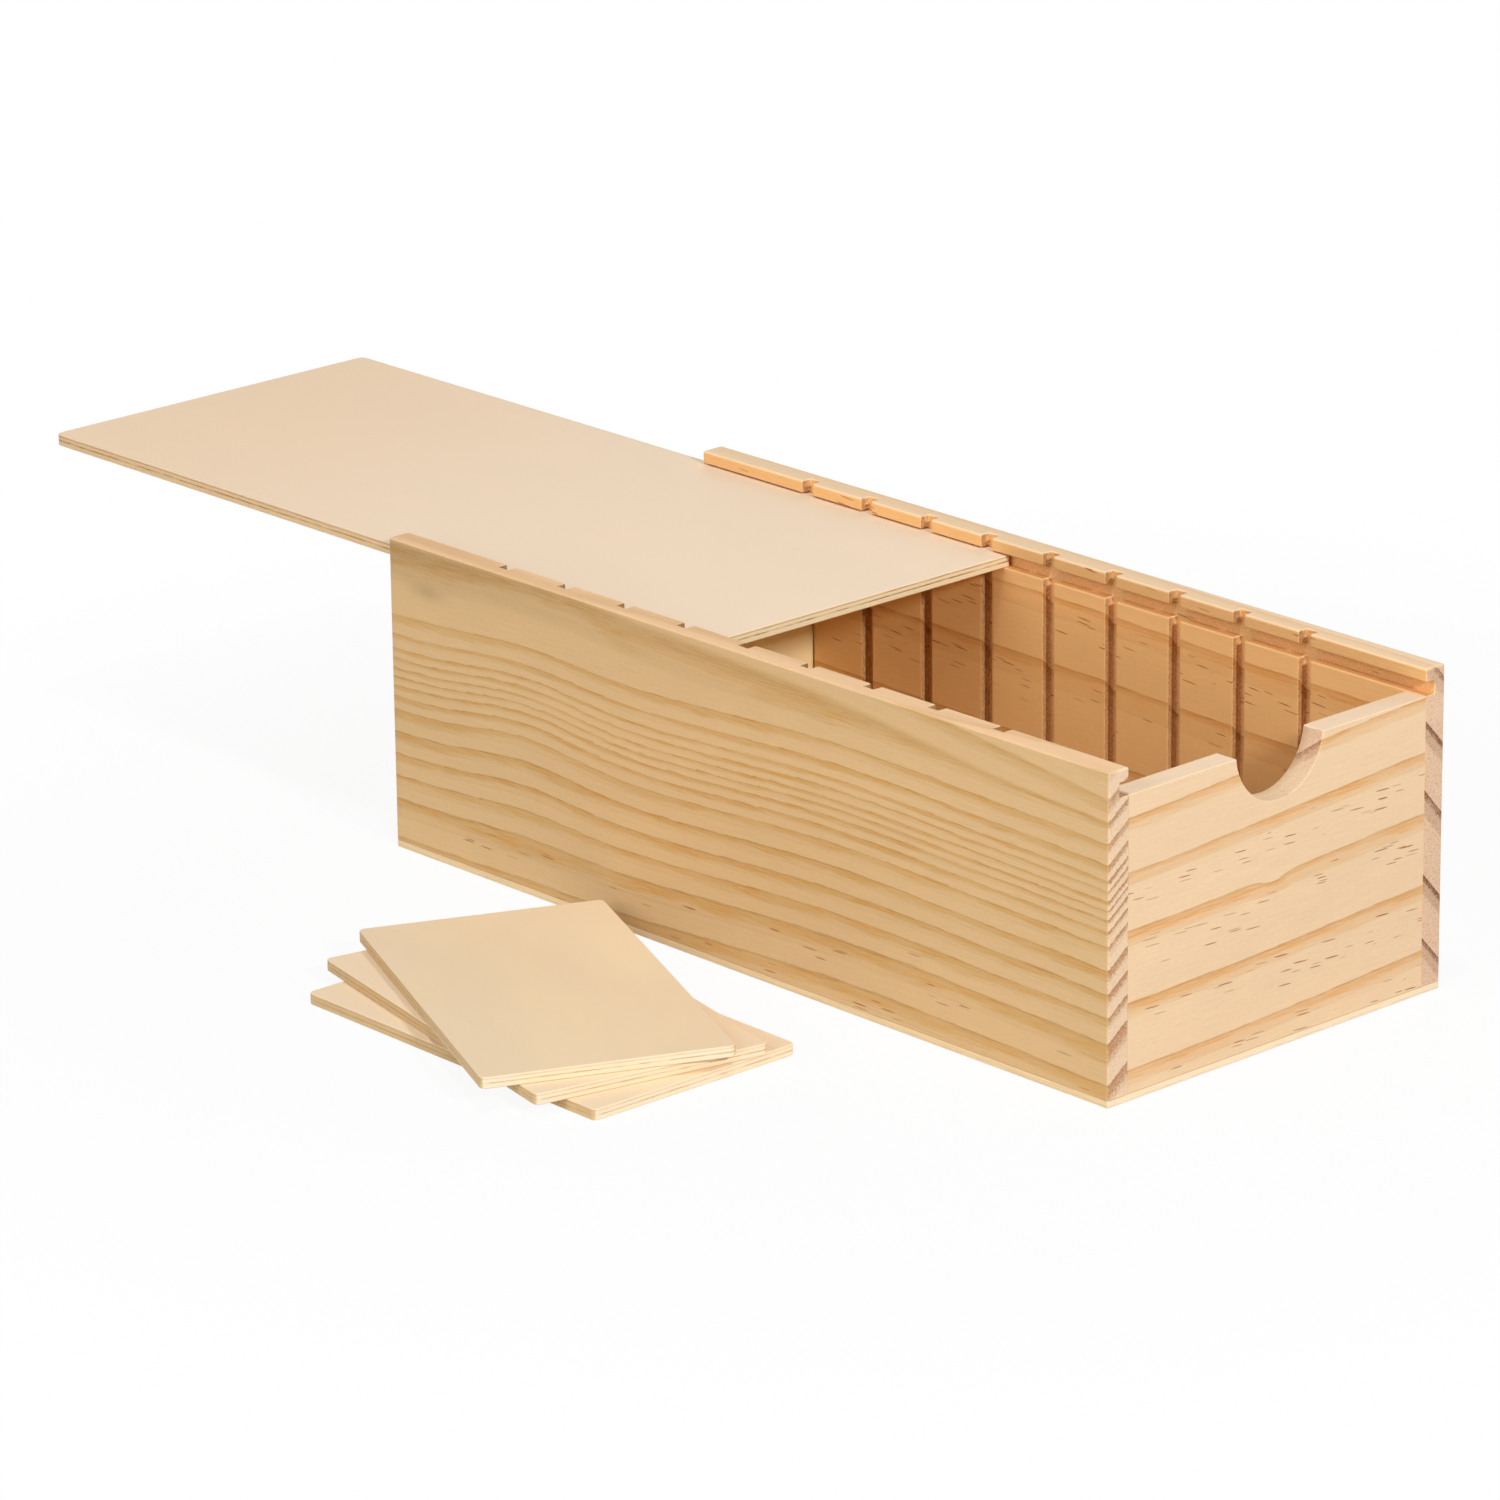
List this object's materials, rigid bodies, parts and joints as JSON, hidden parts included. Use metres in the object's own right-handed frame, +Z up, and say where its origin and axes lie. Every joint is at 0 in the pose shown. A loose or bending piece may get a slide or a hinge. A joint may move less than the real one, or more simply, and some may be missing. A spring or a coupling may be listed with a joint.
{
  "type": "index card box",
  "caption": "Long pine index card box: plywood lid sliding in side grooves, upright divider slots, a finger notch in one end, one plywood divider in place and three loose ones beside it.",
  "frame": {"origin": "centre of the bottom panel's underside", "axes": "+Z up; +Y along the box, away from the finger notch, the way the lid is drawn; +X to the right seen from the notched end"},
  "size_m": [0.3369, 0.6092, 0.127],
  "materials": {
    "side_pine": "bare planed pine, end grain at both ends",
    "end_pine": "bare planed pine",
    "bottom_ply": "bare plywood",
    "lid_ply": "sanded bare plywood",
    "divider_ply": "sanded bare plywood"
  },
  "bodies": {
    "box": {"side_left": "side_pine", "side_right": "side_pine", "front_end": "end_pine", "back_end": "end_pine", "bottom": "bottom_ply"},
    "lid": {"lid": "lid_ply"},
    "divider_standing": {"divider_standing": "divider_ply"},
    "divider_lower": {"divider_lower": "divider_ply"},
    "divider_middle": {"divider_middle": "divider_ply"},
    "divider_upper": {"divider_upper": "divider_ply"}
  },
  "joints": [
    {"name": "lid_slide", "type": "slide", "parent": "box", "child": "lid", "axis": [0, 1, 0], "range_m": [-0.2185, 0.1735]},
    {"name": "standing_lift", "type": "slide", "parent": "box", "child": "divider_standing", "axis": [0, 0, 1], "range_m": [0, 0.0165]},
    {"name": "lower_lift", "type": "slide", "parent": "box", "child": "divider_lower", "axis": [0, 0, 1], "range_m": [0, 0.1]},
    {"name": "middle_lift", "type": "slide", "parent": "divider_lower", "child": "divider_middle", "axis": [0, 0, 1], "range_m": [0, 0.1]},
    {"name": "upper_lift", "type": "slide", "parent": "divider_middle", "child": "divider_upper", "axis": [0, 0, 1], "range_m": [0, 0.1]}
  ]
}
